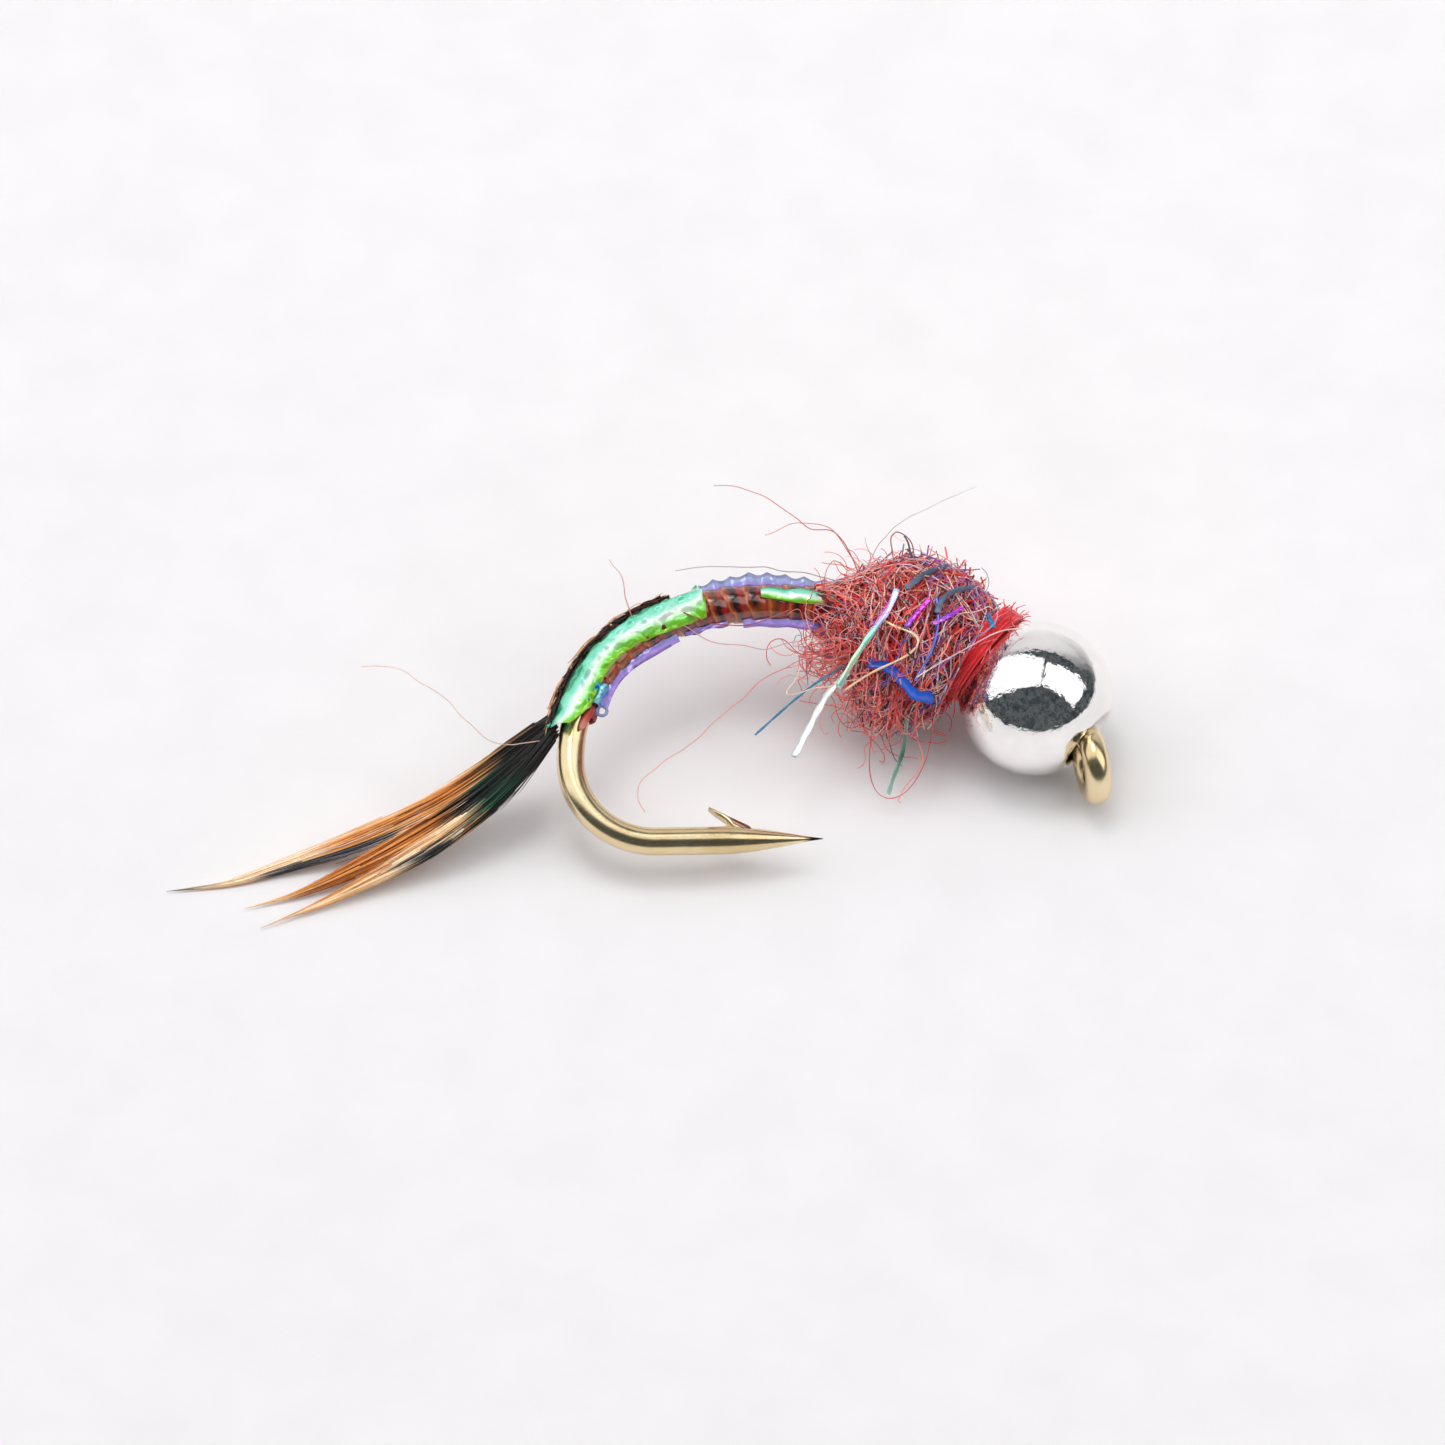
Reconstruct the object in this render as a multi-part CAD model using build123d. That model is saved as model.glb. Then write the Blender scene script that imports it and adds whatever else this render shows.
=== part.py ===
from build123d import *
import math
import os

# Bead-head nymph fly on a curved, down-eye, barbed hook, in millimetres and degrees.
# The hook lies in its own plane: X towards the eye, Y towards the arched back, Z out of the plane, with the
# bead's centre at 0,0,0. The finished fly is then laid on its side, with the eye's centre at 0,0,0.

# hook: round wire, followed from the bead's centre back round the bend to the point
WIRE_R = 0.25
SHANK_HEADING = 137.0
ARCS = ((7.07, 45.4), (4.16, 28.0), (2.85, 59.6), (1.48, 90.0))  # radius and left turn of each stretch
SPEAR_LENGTH = 3.0
TAPER_LENGTH = 2.0
NEEDLE_LENGTH = 0.28
NEEDLE_R = 0.05
POINT_R = 0.012
BARB_ROOT = 1.42  # distances back from the point
BARB_TIP = 2.02
BARB_HEEL = 1.75
BARB_RISE = 0.60  # the barb's tip above the wire's centreline
BARB_THICKNESS = 0.26
NECK_LENGTH = 1.16  # bead's centre to the wire's centre at the top of the ring
EYE_HEADING = -80.0
EYE_R = 0.50
EYE_WIRE_R = 0.24
EYE_BORE_R = 0.29

# bead, along the shank: front is towards the eye
BEAD_R = 1.40
BEAD_FRONT = 1.20
BEAD_REAR = 1.08
BEAD_HOLE_R = 0.36
FRONT_RECESS_R = 0.64
FRONT_RECESS_DEPTH = 0.36
REAR_RECESS_R = 0.62
REAR_RECESS_DEPTH = 0.24

# thread and film, by distance along the wire behind the bead's centre
THREAD_BASE = (0.90, 10.00)
THREAD_BASE_R = (0.265, 0.300)
CORE = (1.46, 4.05)
CORE_R = (0.315, 0.46)
COLLAR = (1.18, 1.44)
COLLAR_TURNS = 5
COLLAR_R = 0.93
WHIP = (1.09, 1.17)
WHIP_TURNS = 2
WHIP_R = 0.82
WINDING_BORE_R = 0.45
FILM = (4.07, 9.68)
FILM_R = (0.315, 0.355)
STRIP = (6.50, 9.64)
STRIP_R = (0.370, 0.405)
STRIP_SPREAD = 62.0  # half the strip's width, as an angle round the body
TAIL_TIE = (9.70, 9.98)
TAIL_TIE_R = (0.315, 0.420)

# thorax dubbing: a ball on the shank that sags into a foot on the table
TUFT_AT = 2.85
TUFT_DROP = 0.30  # from the wire towards the inside of the curve
TUFT_R = 1.25
TUFT_NECK = (1.49, 2.40)
TUFT_NECK_R = (0.85, 1.05)
TUFT_FOOT_R = 0.85
TUFT_WAIST_R = 1.12
TUFT_BORE_R = 0.475

# tail: butts side by side on the tail tie, three groups of tips on the table
TAIL_AT = 9.84
TAIL_ROOT_R = 0.50  # from the wire's centre to the nearest butts
TAIL_FIBRE_R = 0.050
TAIL_PITCH = 0.135
TAIL_GROUPS = (
    # fibres, tip X and Y on the table from the bead's centre, tip spacing, sag at mid length
    (3, -15.5, -3.35, 0.30, 0.80),
    (3, -14.1, -3.75, 0.26, 0.62),
    (2, -13.6, -4.30, 0.34, 0.45),
)

# flash strands on the tuft: three points each, in the hook's plane and above it, and the strand's radius
FLASH_STRANDS = {
    "blue_flash_strand": ((-3.10, 0.40, 0.95), (-2.50, 0.10, 0.90), (-1.90, -0.05, 0.45), 0.045),
    "mint_flash_strand": ((-2.60, 1.60, 1.35), (-3.10, 0.95, 1.25), (-3.50, 0.40, 0.60), 0.045),
    "violet_flash_strand": ((-1.80, 1.35, 1.15), (-1.95, 0.80, 1.20), (-2.25, 0.28, 1.10), 0.040),
    "gold_flash_strand": ((-3.45, 0.35, 0.80), (-2.75, 0.40, 1.32), (-2.10, 0.55, 1.32), 0.035),
    "teal_flash_strand": ((-5.05, -0.95, 0.20), (-4.30, -0.35, 0.35), (-3.75, 0.05, 0.45), 0.035),
    "white_flash_strand": ((-4.35, -1.25, 0.10), (-4.00, -0.70, 0.20), (-3.85, -0.25, 0.25), 0.045),
}

# small ends at the tail tie
TAG_R = 0.035
TAG_LENGTH = 0.40
TAG_ANGLE = 50.0  # round the wire, from the inside of the curve towards the side away from the table
LOOP_R = 0.13
LOOP_WIRE_R = 0.035
LOOP_AT = 9.30

# how the finished fly lies
SLEW = 4.4
TILT = 20.0
PITCH = 5.0

ALONG_Z = Vector(0, 0, 1)


def heading(angle):
    """Unit vector in the hook's plane."""
    return Vector(math.cos(math.radians(angle)), math.sin(math.radians(angle)), 0)


def station(distance):
    """Frame on the wire's centreline: Z runs back along the wire, X to the inside of the curve."""
    at, angle, left = Vector(0, 0, 0), SHANK_HEADING, distance
    for radius, turn in ARCS:
        step = min(math.degrees(left / radius), turn)
        inside = heading(angle + 90)
        at = at + inside * radius - heading(angle + step + 90) * radius
        angle += step
        left -= math.radians(step) * radius
        if step < turn:
            break
    at = at + heading(angle) * max(left, 0.0)
    return Plane(origin=at, x_dir=heading(angle + 90), z_dir=heading(angle))


def square_to_bead(distance):
    """Frame on the bead's own axis, behind its centre, facing the same way as the wire's frames."""
    bead = station(0)
    return Plane(origin=bead.origin + bead.z_dir * distance, x_dir=bead.x_dir, z_dir=bead.z_dir)


def swept(section, start, stop):
    """A section carried along the wire's centreline between two distances, one exact stretch at a time."""
    edges = [0.0]
    for radius, turn in ARCS:
        edges.append(edges[-1] + radius * math.radians(turn))
    solid = None
    for (radius, _), begin, end in zip(ARCS, edges, edges[1:]):
        low, high = max(begin, start), min(end, stop)
        if high - low < 1e-6:
            continue
        frame = station(low)
        centre = frame.origin + frame.x_dir * radius
        piece = revolve(frame * section, Axis(centre, ALONG_Z), math.degrees((high - low) / radius))
        solid = piece if solid is None else solid + piece
    if stop > edges[-1]:
        low = max(edges[-1], start)
        piece = extrude(station(low) * section, stop - low)
        solid = piece if solid is None else solid + piece
    return solid


def tube(span, radii):
    """A sleeve round the wire, between two distances, with its inner and outer radius."""
    return swept(Circle(radii[1]) - Circle(radii[0]), *span)


def strand(points, radius):
    """A round fibre along one arc through three points."""
    path = ThreePointArc(*points)
    return sweep(Plane(origin=path @ 0, z_dir=path % 0) * Circle(radius), path=path)


def winding(span, turns, radius):
    """Thread turns side by side as one band, square to the bead: a disc with a rim of rounded turns."""
    frame = square_to_bead(span[0])
    pitch = (span[1] - span[0]) / turns
    rim = [Line((WINDING_BORE_R, 0), (radius, 0))]
    for i in range(turns):
        low, high = i * pitch, (i + 1) * pitch
        rim.append(ThreePointArc((radius, low), (radius + pitch / 3, (low + high) / 2), (radius, high)))
    rim.append(Line((radius, turns * pitch), (WINDING_BORE_R, turns * pitch)))
    rim.append(Line((WINDING_BORE_R, turns * pitch), (WINDING_BORE_R, 0)))
    profile = Plane(origin=frame.origin, x_dir=frame.x_dir, z_dir=-ALONG_Z) * make_face(Wire(rim))
    return revolve(profile, Axis(frame.origin, frame.z_dir))


def eye_plane():
    """Frame at the eye's centre, with Z along the hole, away from the bead."""
    top = heading(SHANK_HEADING + 180) * NECK_LENGTH
    return Plane(origin=top + heading(EYE_HEADING) * EYE_R, z_dir=heading(EYE_HEADING + 90))


def make_hook():
    bend_end = sum(radius * math.radians(turn) for radius, turn in ARCS)
    wire = swept(Circle(WIRE_R), 0, bend_end + SPEAR_LENGTH - TAPER_LENGTH)
    shoulder = station(bend_end + SPEAR_LENGTH - TAPER_LENGTH)
    needle = station(bend_end + SPEAR_LENGTH - NEEDLE_LENGTH)
    taper = loft([shoulder * Circle(WIRE_R), needle * Circle(NEEDLE_R)])
    tip = loft([needle * Circle(NEEDLE_R), station(bend_end + SPEAR_LENGTH) * Circle(POINT_R)])
    neck = extrude(Plane(origin=(0, 0, 0), z_dir=-heading(SHANK_HEADING)) * Circle(WIRE_R), NECK_LENGTH)
    ring = eye_plane() * (Torus(EYE_R, EYE_WIRE_R) - Cylinder(EYE_BORE_R, 2 * EYE_WIRE_R))
    return wire + taper + tip + make_barb() + (neck - eye_plane() * Cylinder(EYE_R, 4 * EYE_R)) + ring


def make_barb():
    """The sliver cut up from the inside of the spear, its tip towards the bend."""
    bend_end = sum(radius * math.radians(turn) for radius, turn in ARCS)
    point = station(bend_end + SPEAR_LENGTH)
    corners = ((BARB_ROOT, 0.02), (BARB_ROOT, 0.14), (BARB_TIP, BARB_RISE), (BARB_HEEL, 0.02))
    at = [point.origin - point.z_dir * back + point.x_dir * up for back, up in corners]
    middle = -ALONG_Z * BARB_THICKNESS / 2
    return extrude(make_face(Wire.make_polygon([p + middle for p in at])), BARB_THICKNESS, dir=ALONG_Z)


def make_bead():
    front_r = math.sqrt(BEAD_R**2 - BEAD_FRONT**2)
    rear_r = math.sqrt(BEAD_R**2 - BEAD_REAR**2)
    outline = [
        Line((BEAD_HOLE_R, BEAD_FRONT - FRONT_RECESS_DEPTH), (FRONT_RECESS_R, BEAD_FRONT)),
        Line((FRONT_RECESS_R, BEAD_FRONT), (front_r, BEAD_FRONT)),
        ThreePointArc((front_r, BEAD_FRONT), (BEAD_R, 0), (rear_r, -BEAD_REAR)),
        Line((rear_r, -BEAD_REAR), (REAR_RECESS_R, -BEAD_REAR)),
        Line((REAR_RECESS_R, -BEAD_REAR), (BEAD_HOLE_R, -BEAD_REAR + REAR_RECESS_DEPTH)),
        Line((BEAD_HOLE_R, -BEAD_REAR + REAR_RECESS_DEPTH), (BEAD_HOLE_R, BEAD_FRONT - FRONT_RECESS_DEPTH)),
    ]
    forward = -heading(SHANK_HEADING)
    profile = Plane(origin=(0, 0, 0), x_dir=heading(SHANK_HEADING + 90), z_dir=ALONG_Z)
    return revolve(profile * make_face(Wire(outline)), Axis((0, 0, 0), forward))


def make_pearl_back_strip():
    """A band of film over the face of the body that lies uppermost, narrowing to a point at its front."""
    ring = Circle(STRIP_R[1]) - Circle(STRIP_R[0])
    reach = 2 * STRIP_R[1]
    spread = math.radians(STRIP_SPREAD)
    wedge = make_face(Wire.make_polygon([
        (0, 0), (reach * math.sin(spread), reach * math.cos(spread)), (0, 2 * reach),
        (-reach * math.sin(spread), reach * math.cos(spread)),
    ]))
    return swept(ring & wedge, *STRIP)


def make_thorax_dubbing(place, table):
    shank = station(TUFT_AT)
    at = (place * Location(shank.origin + shank.x_dir * TUFT_DROP)).position
    ball = Pos(at) * Sphere(TUFT_R)
    neck = place * loft([square_to_bead(d) * Circle(r) for d, r in zip(TUFT_NECK, TUFT_NECK_R)])
    height = at.Z - table
    foot = Pos(at.X, at.Y, table + height / 2) * Cone(TUFT_FOOT_R, TUFT_WAIST_R, height)
    bore = place * swept(Circle(TUFT_BORE_R), TUFT_AT - 2 * TUFT_R + 0.2, TUFT_AT + 2 * TUFT_R)
    return ball + neck + foot - bore


def make_tail(place, table):
    """Fibres from the tail tie down to the table, one arc each, in three groups."""
    root = station(TAIL_AT)
    bead_at = (place * Location((0, 0, 0))).position
    fibres = []
    total = sum(group[0] for group in TAIL_GROUPS)
    for count, tip_x, tip_y, spacing, sag in TAIL_GROUPS:
        for i in range(count):
            k = len(fibres)
            row, column = k % 2, k // 2 - (total / 2 - 1) / 2
            butt = (place * Location(
                root.origin - root.x_dir * (TAIL_ROOT_R + row * 0.01)
                + root.z_dir * column * TAIL_PITCH + ALONG_Z * (row - 0.5) * TAIL_PITCH
            )).position
            shift = (i - (count - 1) / 2) * spacing
            tip = Vector(bead_at.X + tip_x - shift * 0.6, bead_at.Y + tip_y - shift, table + TAIL_FIBRE_R)
            middle = (butt + tip) * 0.5
            middle = middle + Vector(0, -sag * 0.35, -sag * 0.75)
            fibres.append(strand((butt, middle, tip), TAIL_FIBRE_R))
    return fibres


def make_thread_tag():
    """The cut end of the thread, lying along the tail tie on the inside of the curve."""
    start = station(TAIL_TIE[0])
    aside = start.x_dir * math.cos(math.radians(TAG_ANGLE)) + ALONG_Z * math.sin(math.radians(TAG_ANGLE))
    low = start.origin + aside * (TAIL_TIE_R[1] + TAG_R + 0.02)
    high = low + start.z_dir * TAG_LENGTH + aside * 0.06
    middle = (low + high) * 0.5 + aside * 0.02
    return strand((low, middle, high), TAG_R)


def make_pearl_tag_loop():
    """A small loop of film standing off the inside of the body, just in front of the tail tie."""
    frame = station(LOOP_AT)
    centre = frame.origin + frame.x_dir * (STRIP_R[1] + LOOP_R + LOOP_WIRE_R + 0.02)
    return Plane(origin=centre, x_dir=frame.x_dir, z_dir=ALONG_Z) * Torus(LOOP_R, LOOP_WIRE_R)


def main():
    lie = Rot(Y=PITCH) * Rot(X=TILT) * Rot(Z=SLEW)
    eye_at = (lie * Location(eye_plane().origin)).position
    place = Pos(-eye_at) * lie
    table = -eye_at.Z - BEAD_R

    nodes = {
        "hook": place * make_hook(),
        "bead": place * make_bead(),
        "thread_base": place * tube(THREAD_BASE, THREAD_BASE_R),
        "thorax_core": place * tube(CORE, CORE_R),
        "thread_collar": place * winding(COLLAR, COLLAR_TURNS, COLLAR_R),
        "whip_finish": place * winding(WHIP, WHIP_TURNS, WHIP_R),
        "pearl_body_wrap": place * tube(FILM, FILM_R),
        "pearl_back_strip": place * make_pearl_back_strip(),
        "tail_tie": place * tube(TAIL_TIE, TAIL_TIE_R),
        "thread_tag": place * make_thread_tag(),
        "pearl_tag_loop": place * make_pearl_tag_loop(),
        "thorax_dubbing": make_thorax_dubbing(place, table),
    }
    for name, (first, middle, last, radius) in FLASH_STRANDS.items():
        nodes[name] = place * strand((first, middle, last), radius)
    for number, fibre in enumerate(make_tail(place, table), start=1):
        nodes[f"tail_fibre_{number}"] = fibre

    os.makedirs("parts", exist_ok=True)
    for name, solid in nodes.items():
        export_step(solid, f"parts/{name}.step")

    print("eye axis", Plane(place * eye_plane().location).z_dir)
    print("table at Z", round(table, 4), "bead centre", (place * Location((0, 0, 0))).position)
    print("nodes", len(nodes))


main()
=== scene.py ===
import math
import random

import bmesh
import bpy
from mathutils import Matrix, Vector, noise
from mathutils.kdtree import KDTree


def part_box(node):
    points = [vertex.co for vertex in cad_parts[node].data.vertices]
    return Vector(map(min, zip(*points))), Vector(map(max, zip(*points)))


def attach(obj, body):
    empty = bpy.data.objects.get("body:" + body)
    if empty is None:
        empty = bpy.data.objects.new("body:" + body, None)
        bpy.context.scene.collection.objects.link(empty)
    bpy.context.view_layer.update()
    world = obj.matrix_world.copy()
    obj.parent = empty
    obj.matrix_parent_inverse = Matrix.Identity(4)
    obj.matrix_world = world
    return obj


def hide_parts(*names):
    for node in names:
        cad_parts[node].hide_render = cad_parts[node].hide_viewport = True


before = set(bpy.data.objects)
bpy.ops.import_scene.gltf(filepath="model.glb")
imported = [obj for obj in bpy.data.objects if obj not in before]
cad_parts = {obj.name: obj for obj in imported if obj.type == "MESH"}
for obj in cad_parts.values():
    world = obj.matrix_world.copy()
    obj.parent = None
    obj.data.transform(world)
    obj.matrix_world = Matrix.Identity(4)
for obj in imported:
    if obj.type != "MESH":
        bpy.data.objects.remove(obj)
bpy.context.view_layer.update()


# --- how the fly lies, and the camera ----------------------------------------
# The hook has a plane of its own, measured in millimetres from the bead's centre: X towards the eye,
# Y towards the arched back, Z out of the plane. LIE lays that plane on the table as the fly rests on it.
bead_low, bead_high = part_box("bead")
BEAD_AT = (Vector(bead_low) + Vector(bead_high)) / 2
LIE = (
    Matrix.Translation(BEAD_AT)
    @ Matrix.Rotation(math.radians(5.0), 4, "Y")
    @ Matrix.Rotation(math.radians(20.0), 4, "X")
    @ Matrix.Rotation(math.radians(4.4), 4, "Z")
    @ Matrix.Scale(0.001, 4)
)
TABLE = min(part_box("bead")[0][2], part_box("thorax_dubbing")[0][2])

view_elevation = math.radians(50.0)
view_width = 0.02601
view_distance = 0.25
view_left, view_down = 0.005643, 0.000441  # the middle of the view, from the bead
image_up = Vector((0, math.sin(view_elevation), math.cos(view_elevation)))
towards_camera = Vector((0, -math.cos(view_elevation), math.sin(view_elevation)))
camera = bpy.data.objects.new("camera", bpy.data.cameras.new("camera"))
camera.location = BEAD_AT - Vector((view_left, 0, 0)) - image_up * view_down + towards_camera * view_distance
camera.rotation_mode = "QUATERNION"
camera.rotation_quaternion = (-towards_camera).to_track_quat("-Z", "Y")
camera.data.lens = camera.data.sensor_width * view_distance / view_width
camera.data.clip_start = 0.01
camera.data.clip_end = 10.0
bpy.context.collection.objects.link(camera)
bpy.context.scene.camera = camera


# --- hook ---------------------------------------------------------------------
# One length of round carbon-steel wire, drawn, bent, forged to a needle point and cut for its barb, then
# plated bright gold. The ring eye is turned down in front of the bead.
WIRE_R = 0.25
SHANK_HEADING = 137.0
ARCS = ((7.07, 45.4), (4.16, 28.0), (2.85, 59.6), (1.48, 90.0))  # radius and left turn, bead to spear
BEND_END = sum(radius * math.radians(turn) for radius, turn in ARCS)
OUT_OF_PLANE = Vector((0, 0, 1))


def heading(angle):
    """Unit vector in the hook's plane."""
    return Vector((math.cos(math.radians(angle)), math.sin(math.radians(angle)), 0))


def station(distance):
    """A point on the wire so far behind the bead, the way to the inside of the curve, and the way back."""
    at, angle, left = Vector((0, 0, 0)), SHANK_HEADING, max(distance, 0.0)
    for radius, turn in ARCS:
        step = min(math.degrees(left / radius), turn)
        at = at + heading(angle + 90) * radius - heading(angle + step + 90) * radius
        angle += step
        left -= math.radians(step) * radius
        if step < turn:
            break
    if distance < 0:
        left = distance
    return at + heading(angle) * left, heading(angle + 90), heading(angle)


def colour(code, alpha=1.0):
    """A hex sRGB colour as linear RGBA."""
    parts = [int(code[i:i + 2], 16) / 255 for i in (1, 3, 5)]
    return tuple(p / 12.92 if p <= 0.04045 else ((p + 0.055) / 1.055) ** 2.4 for p in parts) + (alpha,)


def add(tree, kind, inputs=(), stops=(), **settings):
    """Adds a shader node with its settings. An input is a value, or another node's output to link from."""
    made = tree.nodes.new(kind)
    for key, value in settings.items():
        setattr(made, key, value)
    for key, value in dict(inputs).items():
        if isinstance(value, bpy.types.NodeSocket):
            tree.links.new(value, made.inputs[key])
        else:
            made.inputs[key].default_value = value
    for i, (place, code) in enumerate(stops):
        if i > 1:
            made.color_ramp.elements.new(place)
        made.color_ramp.elements[i].position = place
        made.color_ramp.elements[i].color = colour(code)
    return made


def new_finish(name, **sockets):
    """A material with a Principled shader, and the values of that shader's sockets."""
    finish = bpy.data.materials.new(name)
    finish.use_nodes = True
    shader = finish.node_tree.nodes["Principled BSDF"]
    for key, value in sockets.items():
        shader.inputs[key.replace("_", " ")].default_value = value
    return finish, finish.node_tree, shader


def mottling(tree, scale, detail, **inputs):
    """Noise fixed to the piece, so many waves to the metre."""
    where = add(tree, "ShaderNodeTexCoord").outputs["Object"]
    settings = {"Vector": where, "Scale": scale, "Detail": detail, **inputs}
    return add(tree, "ShaderNodeTexNoise", settings).outputs["Fac"]


def relief(tree, shader, height, strength, distance):
    """Fine surface relief, its distance in metres."""
    bump = add(tree, "ShaderNodeBump", {"Height": height, "Strength": strength, "Distance": distance})
    tree.links.new(bump.outputs["Normal"], shader.inputs["Normal"])


def smooth_object(name, mesh, finish):
    mesh.materials.clear()
    mesh.materials.append(finish)
    mesh.polygons.foreach_set("use_smooth", [True] * len(mesh.polygons))
    piece = bpy.data.objects.new(name, mesh)
    bpy.context.collection.objects.link(piece)
    return piece


def join_fly(piece, nodes):
    """Lets a piece ride with the fly, in the place of its CAD nodes if it has any."""
    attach(piece, "root")
    if nodes:
        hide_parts(*nodes)


def place(name, shape, finish, *nodes, slot=None):
    """Makes a piece of the fly from a bmesh in the hook's millimetres."""
    shape.transform(LIE)
    mesh = bpy.data.meshes.new(name)
    shape.to_mesh(mesh)
    shape.free()
    join_fly(smooth_object(name, mesh, finish), nodes)


def loose(geometry, kind):
    return [g for g in geometry if isinstance(g, kind)]


def drawn_wire(shape, ring, moves):
    """Carries a ring of edges on by a list of (shift, scale about its centre). Returns the last ring."""
    for shift, scale in moves:
        grown = bmesh.ops.extrude_edge_only(shape, edges=ring)["geom"]
        verts, ring = loose(grown, bmesh.types.BMVert), loose(grown, bmesh.types.BMEdge)
        ring = [e for e in ring if all(v in verts for v in e.verts)]
        bmesh.ops.translate(shape, verts=verts, vec=shift)
        centre = sum((v.co for v in verts), Vector()) / len(verts)
        bmesh.ops.scale(shape, verts=verts, vec=(scale,) * 3, space=Matrix.Translation(-centre))
    return ring


neck_length = 1.16
neck_end = 1.03
spear_length, taper_length = 3.0, 1.75
hook = bmesh.new()
down_the_neck = -heading(SHANK_HEADING)
facing = down_the_neck.to_track_quat("Z", "Y").to_matrix().to_4x4()
bmesh.ops.create_circle(hook, segments=32, radius=WIRE_R,
                        matrix=Matrix.Translation(down_the_neck * neck_end) @ facing)
ring = drawn_wire(hook, list(hook.edges), [(-down_the_neck * neck_end, 1.0)])
for (radius, turn), begin in zip(ARCS, [sum(r * math.radians(t) for r, t in ARCS[:i]) for i in range(4)]):
    at, inside, _ = station(begin)
    spun = bmesh.ops.spin(
        hook, geom=ring + list({v for e in ring for v in e.verts}), cent=at + inside * radius,
        axis=OUT_OF_PLANE, angle=math.radians(turn), steps=int(turn / 2.5),
    )["geom_last"]
    ring = loose(spun, bmesh.types.BMEdge)
along_spear = station(BEND_END + 1)[2]
taper = [(along_spear * (spear_length - taper_length), 1.0)]
size = WIRE_R
for step in range(1, 9):
    wanted = WIRE_R * (1 - (step / 8) ** 1.35) + 0.045 * (step / 8)
    taper.append((along_spear * (taper_length - 0.28) / 8, wanted / size))
    size = wanted
taper += [(along_spear * 0.12, 0.62), (along_spear * 0.10, 0.55), (along_spear * 0.06, 0.3)]
ring = drawn_wire(hook, ring, taper)
bmesh.ops.contextual_create(hook, geom=ring)

# the barb is a sliver of the spear, lifted by a chisel cut behind it
point_at, point_inside, _ = station(BEND_END + spear_length)
barb_half_thickness = 0.11
barb_outline = ((1.20, 0.08), (1.34, 0.235), (1.66, 0.40), (2.04, 0.60), (1.90, 0.47), (1.74, 0.35),
                (1.72, 0.29), (1.56, 0.10))
corners = [
    hook.verts.new(point_at - along_spear * back + point_inside * up - OUT_OF_PLANE * barb_half_thickness)
    for back, up in barb_outline
]
blade = hook.faces.new(corners)
grown = bmesh.ops.extrude_face_region(hook, geom=[blade])["geom"]
bmesh.ops.translate(hook, verts=loose(grown, bmesh.types.BMVert), vec=OUT_OF_PLANE * 2 * barb_half_thickness)

# the eye is a ring of slightly flattened wire, its hole coined smooth
eye_heading, eye_r, eye_wire_r, eye_bore_r = -80.0, 0.50, 0.24, 0.29
eye_at = down_the_neck * neck_length + heading(eye_heading) * eye_r
eye_axis = heading(eye_heading + 90)
rim = bmesh.ops.create_circle(
    hook, segments=28, radius=eye_wire_r,
    matrix=Matrix.Translation(eye_at + OUT_OF_PLANE * eye_r) @ Matrix(
        (eye_axis, OUT_OF_PLANE, eye_axis.cross(OUT_OF_PLANE))).transposed().to_4x4(),
)["verts"]
rim_edges = list({e for v in rim for e in v.link_edges})
spun = bmesh.ops.spin(hook, geom=rim + rim_edges, cent=eye_at, axis=eye_axis, angle=math.tau, steps=64,
                      use_merge=True)
for v in hook.verts:
    out = v.co - eye_at
    depth = out.dot(eye_axis)
    spoke = out - eye_axis * depth
    if spoke.length < eye_bore_r and abs(depth) < eye_wire_r and out.length < eye_r:
        v.co = eye_at + eye_axis * depth + spoke.normalized() * eye_bore_r
bmesh.ops.recalc_face_normals(hook, faces=hook.faces)

# Gold plate over drawn steel: a warm mirror with faint lengthwise draw marks, darkening to brown-black at the
# needle tip.
gold_plate, tree, shader = new_finish("gold plated drawn steel", Metallic=1.0, Roughness=0.16)
where = add(tree, "ShaderNodeTexCoord").outputs["Object"]
grain = mottling(tree, 5200.0, 4.0, Roughness=0.6)
warmth = add(tree, "ShaderNodeValToRGB", {"Fac": mottling(tree, 900.0, 3.0)},
             stops=((0.3, "#dcc08e"), (0.7, "#f2e0b8")))
tip_at = LIE @ point_at
reach = add(tree, "ShaderNodeVectorMath", {0: where, 1: tip_at}, operation="DISTANCE")
darker_to_tip = add(tree, "ShaderNodeMapRange",
            {"Value": reach.outputs["Value"], "From Min": 0.00022, "From Max": 0.00038})
tinted = add(tree, "ShaderNodeMix",
             {"Factor": darker_to_tip.outputs["Result"], 6: colour("#2c231c"), 7: warmth.outputs["Color"]},
             data_type="RGBA")
tree.links.new(tinted.outputs[2], shader.inputs["Base Color"])
polish = add(tree, "ShaderNodeMapRange", {"Value": grain, "To Min": 0.14, "To Max": 0.30})
tree.links.new(polish.outputs["Result"], shader.inputs["Roughness"])
relief(tree, shader, grain, 0.10, 0.00002)
place("hook_wire", hook, gold_plate, "hook", slot="hook")


# --- bead ---------------------------------------------------------------------
# A turned metal ball, drilled along the shank and countersunk front and back, then plated to a silver mirror.
# It sits against the eye, and the thread behind it keeps it there.
bead_r, bead_front, bead_rear, bead_hole_r = 1.40, 1.20, 1.08, 0.36
bead_profile = [(bead_hole_r, bead_front - 0.36), (0.60, bead_front - 0.05), (0.66, bead_front)]
front_edge, rear_edge = math.asin(bead_front / bead_r), -math.asin(bead_rear / bead_r)
for step in range(49):
    lift = front_edge + (rear_edge - front_edge) * step / 48
    bead_profile.append((bead_r * math.cos(lift), bead_r * math.sin(lift)))
bead_profile += [(0.66, -bead_rear), (0.58, -bead_rear + 0.04), (bead_hole_r, -bead_rear + 0.24)]


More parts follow.
